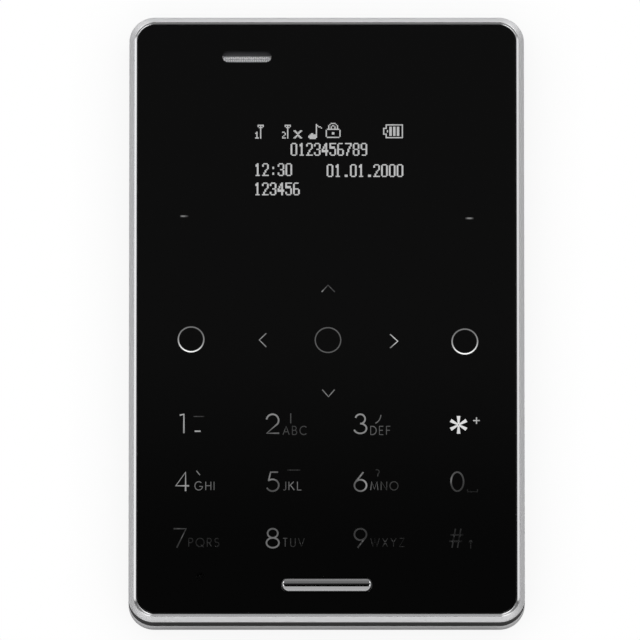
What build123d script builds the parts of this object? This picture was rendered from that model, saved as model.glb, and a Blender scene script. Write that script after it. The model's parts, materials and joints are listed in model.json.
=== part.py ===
from build123d import *
import os

# A mobile phone the size of a bank card, lying on its back.
# X runs across the front to the right, Y up the front towards the earpiece, Z out of the glass.
# The origin is the middle of the rear cover's outer face. All sizes are in millimetres.

# Outer body, seen from the front
body_length = 85.0
body_width = 54.0
corner_radius = 3.5
inner_radius_min = 0.4     # smallest corner radius of any inset outline

# Thicknesses, from the rear cover to the rim of the frame
cover_thickness = 0.7
rear_gap = 0.1             # air between the rear cover and the battery
rear_bay = 2.3             # battery, main board and what the board carries
plate_thickness = 0.35
front_bay = 1.1            # display, keypad board and light guide
film_thickness = 0.15      # touch film and the gasket round it
glass_thickness = 0.75
rim_proud = 0.05           # rim of the frame above the glass

# Section of the metal frame
cover_proud = 0.15         # rear cover behind the frame
rear_chamfer = 0.35
shoulder_width = 0.72      # satin outer band of the rim
shoulder_drop = 0.36
bevel_width = 0.31         # polished inner band of the rim
bevel_drop = 0.15
lip_width = 0.05           # narrow flat next to the glass
ledge_width = 0.8          # carries the glass gasket
wall = 1.2                 # side wall round the rear bay
cover_rim = 0.7            # rear rim round the rear cover
band_drop = 0.12           # metal left between the shoulder and the band in the side
band_height = 2.4
band_depth = 0.15
band_sunk = 0.03

# Clearances
glass_gap = 0.08
cover_gap = 0.05
plate_gap = 0.05
film_gap = 0.1
part_gap = 0.15            # between parts that lie side by side
cut_extra = 0.5            # how far a cut runs past the faces that it opens

# Rear cover
rib_gap = 0.05
rib_thickness = 0.6
rib_height = 0.5
cover_round = 0.3
grille_columns = 7
grille_rows = 2
grille_hole = 0.8
grille_pitch = 1.5

# Front glass and what opens through it
glass_bevel = 0.12
earpiece_from_left = 16.1
earpiece_from_top = 5.6
earpiece_length = 6.7
earpiece_width = 1.6
mic_from_left = 9.8
mic_from_bottom = 6.3
mic_hole = 1.1

# Earpiece
mesh_lip = 0.55            # mesh held under the glass all round the slot
mesh_pitch = 0.36
mesh_hole = 0.2
mesh_columns = 17
mesh_rows = 4
receiver_length = 10.0
receiver_width = 5.6
receiver_depth = 1.2       # behind the front of the chassis plate
receiver_rise = 0.75       # in front of it
receiver_lip = 0.5
receiver_lip_thickness = 0.3
gasket_wall = 0.8

# Bar key and its switch
key_from_bottom = 5.1
key_length = 12.2
key_width = 2.05
key_proud = 0.8
key_flat = 0.1             # flat left along the crown of the key
key_gap = 0.08
key_play = 0.02
key_flange_lip = 0.6
key_flange_thickness = 0.25
key_stem_radius = 1.0
dome_radius = 2.0
dome_height = 0.3
dome_sheet = 0.08
key_room = 0.3             # round the flange, in the light guide and the touch film

# Keypad board, light guide, microphone
keypad_board_thickness = 0.4
led_length = 1.6
led_width = 0.8
led_height = 0.4
led_pitch_x = 30.0
led_pitch_y = 11.0
led_rows = 3
led_from_bottom = 12.0
mic_radius = 2.0
mic_height = 0.5
boot_wall = 0.9

# Display
display_width = 26.7
display_length = 19.3
active_from_top = 19.85    # middle of the lit area, from the top end of the body
active_drop = 7.5          # middle of the lit area, from the top edge of the display
display_tape_thickness = 0.1
display_base = 0.5         # rear glass of the display
display_ledge = 4.6        # rear glass left bare below the front glass
driver_length = 12.0
driver_width = 1.2
driver_height = 0.3
flex_width = 8.0
flex_thickness = 0.1
flex_bond = 1.2
flex_reach = 1.1
flex_room = 0.5
flex_bend = 0.35
connector_height = 0.8
connector_depth = 2.2
connector_margin = 0.6
bracket_wall = 1.0

# Main board
board_thickness = 0.6
board_length = 31.0
screw_inset = 2.0
screw_radius = 0.6
screw_head_radius = 1.1
screw_head_height = 0.4
screw_drive = 0.5
screw_clearance = 0.1
thread_gap = 0.02
can_sheet = 0.15
can_height = 1.3
can_gap = 0.6
cans_apart = 0.4
chip_height = 0.9
chip_margin = 2.0

# Card socket, tray and ejector
tray_from_top = 18.0       # middle of the tray, from the top end of the body
card_length = 12.3
card_width = 8.8
card_gap = 0.1
card_ledge = 0.7
tray_thickness = 0.8
tray_floor = 0.18
tray_web = 0.8
tray_neck = 1.3
tray_gap = 0.08
face_thickness = 1.1
face_height = 1.5
face_sunk = 0.02
face_end = 0.8             # face past the tray and past the pin hole
face_gap = 0.06
pin_radius = 0.45
base_thickness = 0.35
contact_length = 1.6
contact_width = 1.2
contact_thickness = 0.12
contact_pitch_x = 2.6
contact_pitch_y = 2.5
cage_sheet = 0.15
rail_width = 0.4
rod_width = 0.8
rod_gap = 0.1
rod_end_gap = 0.3
lever_width = 1.5
lever_gap = 0.12
lever_inset = 0.1          # lever thinner than the tray on each side
lever_rod_arm = 2.4
lever_tray_arm = 4.6
lever_room = 1.2
pivot_radius = 0.45
pivot_gap = 0.04

# Charging socket
usb_from_top = 20.5
usb_width = 7.4
usb_height = 2.25
usb_depth = 5.0
usb_sheet = 0.2
usb_corner = 0.7
usb_sunk = 0.1
usb_gap = 0.12
usb_tongue_width = 3.6
usb_tongue_thickness = 0.6
usb_tongue_sunk = 0.8
usb_base_depth = 1.2
usb_fit = 0.02

# Battery
battery_thickness = 2.2
battery_round = 0.6
battery_corner = 1.5
lane_width = 5.0           # kept free beside the battery for the lower flex
terrace_length = 3.0
terrace_width = 26.0
protection_thickness = 0.8
tail_width = 6.0
tail_x = 8.5
tail_thickness = 0.1

# Bottom end: antenna, loudspeaker and vibration motor
antenna_width = 2.5
antenna_film_thickness = 0.1
antenna_rib = 0.6
speaker_length = 15.0
speaker_width = 9.0
speaker_height = 2.0
speaker_corner = 1.2
speaker_rim = 0.9
speaker_recess = 0.25
lower_flex_width = 4.0
lower_flex_thickness = 0.15
motor_from_side = 10.0
motor_radius = 4.0
motor_height = 2.2
motor_base_thickness = 0.2
motor_sheet = 0.15
motor_shaft_radius = 0.35
motor_running_gap = 0.03
hub_radius = 1.3
weight_radius = 3.5
rotor_end_gap = 0.15

# Heights of the layers
z_plate = cover_thickness + rear_gap + rear_bay
z_front = z_plate + plate_thickness
z_film = z_front + front_bay
z_glass = z_film + film_thickness
z_face = z_glass + glass_thickness
z_rim = z_face + rim_proud
z_band_high = z_rim - shoulder_drop - band_drop
z_band_low = z_band_high - band_height
z_board = z_plate - board_thickness
z_keypad = z_front + keypad_board_thickness
z_ledge = z_front + display_tape_thickness + display_base
z_base = z_board - base_thickness
z_tray_high = z_base - tray_gap
z_tray_low = z_tray_high - tray_thickness
z_tray = (z_tray_low + z_tray_high) / 2
z_cage = z_tray_low - tray_gap
z_connector = z_board - connector_height / 2

# Half sizes and insets
half_x = body_width / 2
half_y = body_length / 2
rim_width = shoulder_width + bevel_width + lip_width
ledge_inset = rim_width + ledge_width
front_inset = ledge_inset + part_gap
bay_inset = wall + rib_gap + rib_thickness + part_gap
bay_x = half_x - bay_inset
bay_y = half_y - bay_inset

# Places on the front
earpiece_x = earpiece_from_left - half_x
earpiece_y = half_y - earpiece_from_top
key_y = key_from_bottom - half_y
mic_x = mic_from_left - half_x
mic_y = mic_from_bottom - half_y
display_high = half_y - active_from_top + active_drop
display_low = display_high - display_length
fold_y = display_low - flex_reach
bracket_low = fold_y - flex_room - bracket_wall
keypad_high = bracket_low - part_gap

# Places on the main board
board_low = bay_y - board_length
connector_low = max(fold_y + flex_room, board_low) + connector_margin
connector_high = connector_low + connector_depth
receiver_left = earpiece_x - receiver_length / 2 - part_gap
receiver_right = earpiece_x + receiver_length / 2 + part_gap
receiver_low = earpiece_y - receiver_width / 2 - part_gap
tray_y = half_y - tray_from_top
pocket_length = card_length + 2 * card_gap
pocket_width = card_width + 2 * card_gap
tray_width = pocket_width + 2 * tray_web
tray_depth = tray_neck + 2 * pocket_length + 2 * tray_web
face_outer = half_x - face_sunk
face_inner = face_outer - face_thickness
tray_rear = face_inner - tray_depth
rod_y = tray_y + tray_width / 2 + tray_gap + rail_width + rod_gap + rod_width / 2
lever_front = tray_rear - lever_gap
lever_x = lever_front - lever_width / 2
pivot_y = rod_y - lever_rod_arm
base_left = lever_front - lever_width - lever_room
base_low = tray_y - tray_width / 2 - tray_gap - rail_width
base_high = rod_y + rod_width / 2 + rod_gap + rail_width
face_low = tray_y - tray_width / 2 - face_end
face_high = rod_y + pin_radius + face_end
face_y = (face_low + face_high) / 2
face_length = face_high - face_low
usb_y = half_y - usb_from_top
usb_mouth = usb_sunk - half_x
usb_end = usb_mouth + usb_depth
screw_places = [(-bay_x + screw_inset, bay_y - screw_inset), (bay_x - screw_inset, bay_y - screw_inset),
                (-bay_x + screw_inset, board_low + screw_inset), (bay_x - screw_inset, board_low + screw_inset)]

# Places in the bottom end
zone_low = -bay_y + antenna_width + part_gap
zone_high = zone_low + max(speaker_width, 2 * motor_radius)
speaker_x = -bay_x + speaker_length / 2
speaker_y = zone_low + speaker_width / 2
z_speaker = z_plate - speaker_height
motor_x = half_x - motor_from_side
motor_y = zone_low + motor_radius
z_motor = z_plate - motor_height
terrace_high = board_low - part_gap
battery_high = terrace_high - terrace_length
battery_low = zone_high + part_gap
battery_right = bay_x - lane_width


def plate(width, length, low, high, x=0.0, y=0.0, radius=0.0):
    """A flat plate between two heights, with rounded corners where a radius is given."""
    outline = RectangleRounded(width, length, radius) if radius else Rectangle(width, length)
    return extrude(Pos(x, y, low) * outline, high - low)


def block(left, right, bottom, top, low, high, radius=0.0):
    """A flat plate given by its four sides and two heights."""
    return plate(right - left, top - bottom, low, high, (left + right) / 2, (bottom + top) / 2, radius)


def inset_plate(inset, low, high):
    """A plate that follows the outline of the body at a constant inset."""
    radius = max(corner_radius - inset, inner_radius_min)
    return plate(body_width - 2 * inset, body_length - 2 * inset, low, high, radius=radius)


def pill(length, width, low, high, x=0.0, y=0.0):
    """A plate with half-round ends."""
    return extrude(Pos(x, y, low) * SlotOverall(length, width), high - low)


def disc(radius, low, high, x=0.0, y=0.0):
    """A round plate or an upright pin."""
    return extrude(Pos(x, y, low) * Circle(radius), high - low)


def side_extrude(sketch, left, right, y=0.0, z=0.0):
    """A sketch drawn on the side of the body, Y to its right and Z up, drawn out along X."""
    return extrude(Plane((left, y, z), x_dir=(0, 1, 0), z_dir=(1, 0, 0)) * sketch, right - left)


def top_edges(solid):
    """The edges of a solid's highest flat face."""
    return solid.faces().sort_by(Axis.Z)[-1].edges()


def bottom_edges(solid):
    """The edges of a solid's lowest flat face."""
    return solid.faces().sort_by(Axis.Z)[0].edges()


def side_openings():
    """Cutters for what opens through the side: the card tray's slot and the charging socket's port."""
    tray_slot = SlotOverall(face_length + 2 * face_gap, face_height + 2 * face_gap)
    port = offset(usb_outline(), amount=usb_gap)
    return [side_extrude(tray_slot, half_x - wall - part_gap, half_x + cut_extra, face_y, z_tray),
            side_extrude(port, -half_x - cut_extra, -half_x + wall + part_gap, usb_y)]


def frame():
    """The metal frame: one section carried round the outline, then opened for tray and socket."""
    outline = RectangleRounded(body_width, body_length, corner_radius).wire()
    start = outline @ 0
    inward = Vector(0, 0, 1).cross(outline % 0)
    corners = [
        (0, cover_proud + rear_chamfer),
        (0, z_band_low),
        (band_depth, z_band_low),
        (band_depth, z_band_high),
        (0, z_band_high),
        (0, z_rim - shoulder_drop),
        (shoulder_width, z_rim - bevel_drop),
        (shoulder_width + bevel_width, z_rim),
        (rim_width, z_rim),
        (rim_width, z_film),
        (ledge_inset, z_film),
        (ledge_inset, z_front),
        (wall, z_front),
        (wall, cover_thickness),
        (cover_rim, cover_thickness),
        (cover_rim, cover_proud),
        (rear_chamfer, cover_proud),
    ]
    points = [start + inward * inset + Vector(0, 0, height) for inset, height in corners]
    ring = sweep(make_face(Polyline(*points, close=True)), path=outline)
    return ring - side_openings()


def side_band():
    """The dark band let into the side of the frame, under the rim."""
    band = inset_plate(band_sunk, z_band_low, z_band_high) - inset_plate(band_depth, z_band_low, z_band_high)
    return band - side_openings()


def rear_cover():
    """The rear cover: a panel, a locating rib inside the frame and the loudspeaker's sound holes."""
    panel = inset_plate(cover_rim + cover_gap, 0, cover_thickness)
    panel = fillet(bottom_edges(panel), min(cover_round, cover_thickness / 2))
    rib_inset = wall + rib_gap
    rib_high = cover_thickness + rib_height
    rib = inset_plate(rib_inset, cover_thickness, rib_high)
    rib -= inset_plate(rib_inset + rib_thickness, cover_thickness - cut_extra, rib_high + cut_extra)
    rib -= block(0, half_x, base_low - part_gap, base_high + part_gap, cover_thickness, z_plate)
    port_half = usb_width / 2 + usb_gap + part_gap
    rib -= block(-half_x, 0, usb_y - port_half, usb_y + port_half, cover_thickness, z_plate)
    cover = panel + rib
    for hole in GridLocations(grille_pitch, grille_pitch, grille_columns, grille_rows):
        cover -= Pos(speaker_x, speaker_y) * hole * disc(grille_hole / 2, -cut_extra, z_speaker)
    return cover


def chassis_plate():
    """The sheet that parts the rear bay from the front bay and carries both."""
    sheet = inset_plate(wall + plate_gap, z_plate, z_front)
    low, high = z_plate - cut_extra, z_front + cut_extra
    sheet -= plate(receiver_length + 2 * part_gap, receiver_width + 2 * part_gap, low, high,
                   earpiece_x, earpiece_y)
    sheet -= plate(flex_width + 2 * flex_room, 2 * flex_room, low, high, 0, fold_y)
    for x, y in screw_places:
        sheet -= disc(screw_radius + thread_gap, low, high, x, y)
    return sheet


def front_glass():
    """The black front glass with the earpiece slot, the key slot and the microphone hole."""
    glass = inset_plate(rim_width + glass_gap, z_glass, z_face)
    glass = chamfer(top_edges(glass), glass_bevel)
    low, high = z_glass - cut_extra, z_face + cut_extra
    glass -= pill(earpiece_length, earpiece_width, low, high, earpiece_x, earpiece_y)
    glass -= pill(key_length + 2 * key_gap, key_width + 2 * key_gap, low, high, 0, key_y)
    return glass - disc(mic_hole / 2, low, high, mic_x, mic_y)


def glass_gasket():
    """The adhesive ring between the glass and the ledge of the frame."""
    return inset_plate(rim_width + glass_gap, z_film, z_glass) - inset_plate(ledge_inset, z_film, z_glass)


def touch_film():
    """The touch sensor laminated to the back of the glass, open round key, mesh and microphone."""
    film = inset_plate(ledge_inset + film_gap, z_film, z_glass)
    low, high = z_film - cut_extra, z_glass + cut_extra
    film -= pill(earpiece_length + 2 * (mesh_lip + film_gap), earpiece_width + 2 * (mesh_lip + film_gap),
                 low, high, earpiece_x, earpiece_y)
    flange = 2 * (key_flange_lip + key_room)
    film -= pill(key_length + flange, key_width + flange, low, high, 0, key_y)
    return film - disc(mic_hole / 2 + boot_wall + film_gap, low, high, mic_x, mic_y)


def earpiece_mesh():
    """The perforated plate behind the earpiece slot, with staggered square holes."""
    sheet = pill(earpiece_length + 2 * mesh_lip, earpiece_width + 2 * mesh_lip, z_film, z_glass,
                 earpiece_x, earpiece_y)
    hole = plate(mesh_hole, mesh_hole, z_film - cut_extra, z_glass + cut_extra)
    for row in range(mesh_rows):
        stagger = mesh_pitch / 4 if row % 2 else -mesh_pitch / 4
        for column in range(mesh_columns):
            x = earpiece_x + (column - (mesh_columns - 1) / 2) * mesh_pitch + stagger
            y = earpiece_y + (row - (mesh_rows - 1) / 2) * mesh_pitch
            sheet -= Pos(x, y) * hole
    return sheet


def earpiece_gasket():
    """The foam ring that seals the receiver to the back of the mesh."""
    low, high = z_front + receiver_rise, z_film
    ring = pill(earpiece_length + 2 * mesh_lip, earpiece_width + 2 * mesh_lip, low, high,
                earpiece_x, earpiece_y)
    return ring - pill(earpiece_length + 2 * mesh_lip - 2 * gasket_wall,
                       earpiece_width + 2 * mesh_lip - 2 * gasket_wall, low, high, earpiece_x, earpiece_y)


def earpiece_receiver():
    """The receiver: a can that hangs in the chassis plate by a lip, with a sound port in front."""
    low, high = z_front - receiver_depth, z_front + receiver_rise
    can = plate(receiver_length, receiver_width, low, high, earpiece_x, earpiece_y)
    can += plate(receiver_length + 2 * receiver_lip, receiver_width + 2 * receiver_lip, z_front,
                 z_front + receiver_lip_thickness, earpiece_x, earpiece_y)
    port = pill(earpiece_length - gasket_wall, earpiece_width - gasket_wall, high - receiver_lip_thickness,
                high, earpiece_x, earpiece_y)
    return can - port


def wake_key():
    """The bar key: a pill with a fully rounded crown, a flange under the glass and a stem."""
    flange_high = z_glass - key_play
    flange_low = flange_high - key_flange_thickness
    bar = pill(key_length, key_width, flange_low, z_face + key_proud, 0, key_y)
    bar = fillet(top_edges(bar), (key_width - key_flat) / 2)
    bar += pill(key_length + 2 * key_flange_lip, key_width + 2 * key_flange_lip, flange_low, flange_high,
                0, key_y)
    return bar + disc(key_stem_radius, z_keypad + dome_height + key_play, flange_low, 0, key_y)


def wake_dome():
    """The snap dome under the key: a thin shallow cap."""
    outer = ThreePointArc((-dome_radius, 0), (0, dome_height), (dome_radius, 0))
    inner_radius = dome_radius - dome_sheet
    inner = ThreePointArc((-inner_radius, 0), (0, dome_height - dome_sheet), (inner_radius, 0))
    section = make_face(outer + Line(outer @ 0, outer @ 1)) - make_face(inner + Line(inner @ 0, inner @ 1))
    half = section & Pos(dome_radius, 0) * Rectangle(2 * dome_radius, 4 * dome_radius)
    return Pos(0, key_y, z_keypad) * revolve(Plane.XZ * half, Axis.Z)


def keypad_board():
    """The board that carries the touch keys' lights, the key switch and the microphone."""
    board = inset_plate(front_inset, z_front, z_keypad)
    return board & block(-half_x, half_x, -half_y, keypad_high, z_front, z_keypad)


def led_places():
    """The middles of the key lights: two columns, counted up from the bottom end."""
    middle = led_from_bottom - half_y + (led_rows - 1) * led_pitch_y / 2
    return [Pos(0, middle) * place for place in GridLocations(led_pitch_x, led_pitch_y, 2, led_rows)]


def key_leds():
    """The lights on the keypad board, as separate solids."""
    light = plate(led_length, led_width, z_keypad, z_keypad + led_height)
    return Compound([place * light for place in led_places()])


def light_guide():
    """The clear sheet that spreads the light behind the keys."""
    sheet = inset_plate(front_inset, z_keypad, z_film)
    sheet &= block(-half_x, half_x, -half_y, keypad_high, z_keypad, z_film)
    low, high = z_keypad - cut_extra, z_film + cut_extra
    flange = 2 * (key_flange_lip + key_room)
    room = max(key_width + flange, 2 * (dome_radius + part_gap))
    sheet -= pill(key_length + flange + room - key_width, room, low, high, 0, key_y)
    sheet -= disc(mic_radius + part_gap, low, high, mic_x, mic_y)
    pocket = plate(led_length + 2 * part_gap, led_width + 2 * part_gap, low, high)
    for place in led_places():
        sheet -= place * pocket
    return sheet


def microphone():
    """The microphone capsule on the keypad board."""
    capsule = disc(mic_radius, z_keypad, z_keypad + mic_height, mic_x, mic_y)
    port = disc(mic_hole / 2, z_keypad + mic_height / 2, z_keypad + mic_height, mic_x, mic_y)
    return capsule - port


def microphone_boot():
    """The rubber tube from the microphone to the hole in the glass."""
    low = z_keypad + mic_height
    tube = disc(mic_hole / 2 + boot_wall, low, z_glass, mic_x, mic_y)
    return tube - disc(mic_hole / 2, low, z_glass, mic_x, mic_y)


def display_bracket():
    """The moulded bracket that centres the display and the receiver under the glass."""
    bracket = inset_plate(front_inset, z_front, z_film)
    bracket &= block(-half_x, half_x, bracket_low, half_y, z_front, z_film)
    low, high = z_front - cut_extra, z_film + cut_extra
    window = display_width / 2 + part_gap
    bracket -= block(-window, window, display_low - part_gap, display_high + part_gap, low, high)
    flex_half = flex_width / 2 + flex_room
    bracket -= block(-flex_half, flex_half, fold_y - flex_room, display_low, low, high)
    length = max(receiver_length + 2 * receiver_lip, earpiece_length + 2 * mesh_lip) + 2 * part_gap
    width = max(receiver_width + 2 * receiver_lip, earpiece_width + 2 * mesh_lip) + 2 * part_gap
    return bracket - plate(length, width, low, high, earpiece_x, earpiece_y)


def display_tape():
    """The tape that holds the display on the chassis plate."""
    return block(-display_width / 2, display_width / 2, display_low, display_high,
                 z_front, z_front + display_tape_thickness)


def display_panel():
    """The display: a rear glass and a shorter front glass that leaves a ledge bare."""
    half = display_width / 2
    rear = block(-half, half, display_low, display_high, z_front + display_tape_thickness, z_ledge)
    return rear + block(-half, half, display_low + display_ledge, display_high, z_ledge, z_film)


def display_driver():
    """The driver chip on the display's ledge."""
    y = display_low + (flex_bond + display_ledge) / 2
    return plate(driver_length, driver_width, z_ledge, z_ledge + driver_height, 0, y)


def display_flex():
    """The display's flex: off the ledge, down through the plate and round to its connector."""
    z_top = z_ledge + flex_thickness / 2
    route = FilletPolyline((display_low + flex_bond, z_top), (fold_y, z_top), (fold_y, z_connector),
                           (connector_low, z_connector), radius=flex_bend)
    return side_extrude(trace(route, flex_thickness), -flex_width / 2, flex_width / 2)


def display_connector():
    """The connector on the main board that takes the display's flex."""
    half = flex_width / 2 + connector_margin
    return block(-half, half, connector_low, connector_high, z_board - connector_height, z_board)


def main_board():
    """The main board, notched round the receiver, the charging socket and the display's flex."""
    board = inset_plate(bay_inset, z_board, z_plate)
    board &= block(-half_x, half_x, board_low, half_y, z_board, z_plate)
    low, high = z_board - cut_extra, z_plate + cut_extra
    board -= block(receiver_left, receiver_right, receiver_low, half_y, low, high)
    port_half = usb_width / 2 + usb_gap
    board -= block(-half_x, usb_end + usb_gap, usb_y - port_half, usb_y + port_half, low, high)
    flex_half = flex_width / 2 + flex_room
    board -= block(-flex_half, flex_half, board_low - cut_extra, fold_y + flex_room, low, high)
    for x, y in screw_places:
        board -= disc(screw_radius + screw_clearance, low, high, x, y)
    return board


def board_screws():
    """The screws that hold the main board to the chassis plate, as separate solids."""
    head = disc(screw_head_radius, z_board - screw_head_height, z_board)
    head -= plate(screw_drive, 2 * screw_head_radius, z_board - screw_head_height,
                  z_board - screw_head_height / 2)
    screw = head + disc(screw_radius, z_board, z_front - thread_gap)
    return Compound([Pos(x, y) * screw for x, y in screw_places])


def shield_can(left, right, bottom, top):
    """A thin pressed can, open towards the board."""
    low = z_board - can_height
    can = block(left, right, bottom, top, low, z_board)
    return can - block(left + can_sheet, right - can_sheet, bottom + can_sheet, top - can_sheet,
                       low + can_sheet, z_board)


def chip(left, right, bottom, top):
    """A chip soldered to the board inside the can that covers it."""
    margin = can_sheet + chip_margin
    return block(left + margin, right - margin, bottom + margin, top - margin, z_board - chip_height, z_board)


def sim_base():
    """The card socket's base: a plate on the board, with rails beside the tray and the eject rod."""
    base = block(base_left, bay_x, base_low, base_high, z_base, z_board)
    inner_rail = tray_y + tray_width / 2 + tray_gap
    base += block(base_left, bay_x, base_low, base_low + rail_width, z_cage, z_base)
    base += block(tray_rear + lever_width, bay_x, inner_rail, inner_rail + rail_width, z_cage, z_base)
    base += block(base_left, bay_x, base_high - rail_width, base_high, z_cage, z_base)
    for place in contact_places():
        base -= place * plate(contact_length, contact_width, z_base, z_base + contact_thickness)
    return base


def contact_places():
    """The middles of the card contacts: six under each card."""
    places = []
    for pocket in range(2):
        x = face_inner - tray_neck - pocket_length / 2 - pocket * (pocket_length + tray_web)
        places += [Pos(x, tray_y) * spot for spot in GridLocations(contact_pitch_x, contact_pitch_y, 3, 2)]
    return places


def sim_contacts():
    """The card contacts, set flush in the base, as separate solids."""
    contact = plate(contact_length, contact_width, z_base, z_base + contact_thickness)
    return Compound([place * contact for place in contact_places()])


def sim_cage():
    """The pressed cage over the card socket, open at the tray's end."""
    cage = block(base_left, bay_x, base_low - cage_sheet, base_high + cage_sheet, z_cage - cage_sheet, z_board)
    return cage - block(base_left, bay_x, base_low, base_high, z_cage, z_board)


def sim_tray():
    """The tray: two open card pockets in line, each with a ledge round its floor."""
    half = tray_width / 2
    tray = block(tray_rear, face_inner, tray_y - half, tray_y + half, z_tray_low, z_tray_high)
    for pocket in range(2):
        x = face_inner - tray_neck - pocket_length / 2 - pocket * (pocket_length + tray_web)
        tray -= plate(pocket_length, pocket_width, z_tray_low + tray_floor, z_tray_high + cut_extra, x, tray_y)
        tray -= plate(pocket_length - 2 * card_ledge, pocket_width - 2 * card_ledge,
                      z_tray_low - cut_extra, z_tray_high, x, tray_y)
    return tray


def tray_face():
    """The tray's outer face, flush with the frame, with the pin hole in front of the eject rod."""
    face = side_extrude(SlotOverall(face_length, face_height), face_inner, face_outer, face_y, z_tray)
    return face - side_extrude(Circle(pin_radius), face_inner - cut_extra, half_x + cut_extra, rod_y, z_tray)


def eject_rod():
    """The rod that a pin pushes in, beside the tray."""
    half = rod_width / 2
    return block(lever_front + rod_gap, face_inner - rod_end_gap, rod_y - half, rod_y + half,
                 z_tray - half, z_tray + half)


def eject_lever():
    """The lever across the end of the tray, turned by the rod."""
    half = lever_width / 2
    low, high = z_tray_low + lever_inset, z_tray_high - lever_inset
    bottom, top = pivot_y - lever_tray_arm - half, rod_y + rod_width / 2
    outline = Pos(lever_x, (bottom + top) / 2, low) * SlotOverall(top - bottom, lever_width, rotation=90)
    return extrude(outline, high - low) - disc(pivot_radius + pivot_gap, low, high, lever_x, pivot_y)


def eject_pivot():
    """The pin that the eject lever turns on, between base and cage."""
    return disc(pivot_radius, z_cage, z_base, lever_x, pivot_y)


def usb_outline():
    """The charging socket's mouth, drawn on the side: a flat shape with two cut corners."""
    half = usb_width / 2
    low = z_plate - usb_height
    return make_face(Polyline((-half, z_plate), (half, z_plate), (half, low + usb_corner),
                              (half - usb_corner, low), (usb_corner - half, low),
                              (-half, low + usb_corner), close=True))


def usb_shell():
    """The charging socket's pressed shell, open at the mouth."""
    wall_ring = usb_outline() - offset(usb_outline(), amount=-usb_sheet)
    return side_extrude(wall_ring, usb_mouth, usb_end, usb_y)


def usb_tongue():
    """The charging socket's moulded tongue and the base that closes the shell behind it."""
    base = side_extrude(offset(usb_outline(), amount=-usb_sheet - usb_fit), usb_end - usb_base_depth,
                        usb_end, usb_y)
    middle = z_plate - usb_height / 2
    blade = Rectangle(usb_tongue_width, usb_tongue_thickness)
    return base + side_extrude(blade, usb_mouth + usb_tongue_sunk, usb_end, usb_y, middle)


def battery_cell():
    """The battery: a flat pouch with soft edges, held on the chassis plate."""
    cell = block(-bay_x, battery_right, battery_low, battery_high, z_plate - battery_thickness, z_plate,
                 battery_corner)
    return fillet(bottom_edges(cell), battery_round)


def terrace_block(width, low, high):
    """A strip across the battery's upper end."""
    middle = (-bay_x + battery_right) / 2
    return block(middle - width / 2, middle + width / 2, battery_high, terrace_high, low, high)


def battery_protection_board():
    """The small board on the battery's sealed end."""
    return terrace_block(terrace_width, z_plate - protection_thickness, z_plate)


def tail_sides():
    """The left and right side of the battery's tail."""
    return tail_x - tail_width / 2, tail_x + tail_width / 2


def battery_tail():
    """The flat tail from the battery's board to its connector."""
    left, right = tail_sides()
    z_high = z_plate - protection_thickness
    return block(left, right, battery_high, connector_low, z_high - tail_thickness, z_high)


def battery_connector():
    """The connector on the main board that takes the battery's tail."""
    left, right = tail_sides()
    return block(left, right, connector_low, connector_high, z_board - connector_height, z_board)


def loudspeaker():
    """The loudspeaker, facing the rear cover, with a sunk membrane inside its rim."""
    body = plate(speaker_length, speaker_width, z_speaker, z_plate, speaker_x, speaker_y, speaker_corner)
    return body - pill(speaker_length - 2 * speaker_rim, speaker_width - 2 * speaker_rim,
                       z_speaker - cut_extra, z_speaker + speaker_recess, speaker_x, speaker_y)


def speaker_gasket():
    """The foam ring between the loudspeaker's rim and the rear cover."""
    ring = plate(speaker_length, speaker_width, cover_thickness, z_speaker, speaker_x, speaker_y, speaker_corner)
    return ring - pill(speaker_length - 2 * speaker_rim, speaker_width - 2 * speaker_rim,
                       cover_thickness, z_speaker, speaker_x, speaker_y)


def antenna_carrier():
    """The moulded bar across the bottom end that carries the antenna."""
    low = z_plate - rear_bay + antenna_film_thickness
    bar = inset_plate(bay_inset, low, z_plate)
    return bar & block(-half_x, half_x, -half_y, antenna_width - bay_y, low, z_plate)


def antenna_film():
    """The antenna: a printed strip on the rear of its carrier."""
    low = z_plate - rear_bay
    strip = inset_plate(bay_inset + antenna_rib, low, low + antenna_film_thickness)
    return strip & block(-half_x, half_x, -half_y, antenna_width - antenna_rib - bay_y, low,
                         low + antenna_film_thickness)


def lower_flex():
    """The strip beside the battery, from the main board to the motor and the loudspeaker."""
    middle = (battery_right + bay_x) / 2
    return block(middle - lower_flex_width / 2, middle + lower_flex_width / 2, battery_low,
                 terrace_high, z_plate - lower_flex_thickness, z_plate)


def motor_base():
    """The vibration motor's base plate, held on the chassis plate."""
    return disc(motor_radius, z_plate - motor_base_thickness, z_plate, motor_x, motor_y)


def motor_case():
    """The vibration motor's drawn cup."""
    high = z_plate - motor_base_thickness
    cup = disc(motor_radius, z_motor, high, motor_x, motor_y)
    return cup - disc(motor_radius - motor_sheet, z_motor + motor_sheet, high, motor_x, motor_y)


def motor_shaft():
    """The fixed pin that the rotor turns on."""
    return disc(motor_shaft_radius, z_motor + motor_sheet, z_plate - motor_base_thickness, motor_x, motor_y)


def rotor_heights():
    """The rotor's lower and upper end inside the motor."""
    return z_motor + motor_sheet + rotor_end_gap, z_plate - motor_base_thickness - rotor_end_gap


def rotor_hub():
    """The rotor's bush on the fixed pin."""
    low, high = rotor_heights()
    bore = disc(motor_shaft_radius + motor_running_gap, low, high, motor_x, motor_y)
    return disc(hub_radius, low, high, motor_x, motor_y) - bore


def rotor_weight():
    """The half ring that puts the rotor out of balance."""
    low, high = rotor_heights()
    ring = disc(weight_radius, low, high, motor_x, motor_y) - disc(hub_radius, low, high, motor_x, motor_y)
    return ring & block(motor_x - weight_radius, motor_x + weight_radius, motor_y,
                        motor_y + weight_radius, low, high)


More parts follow.
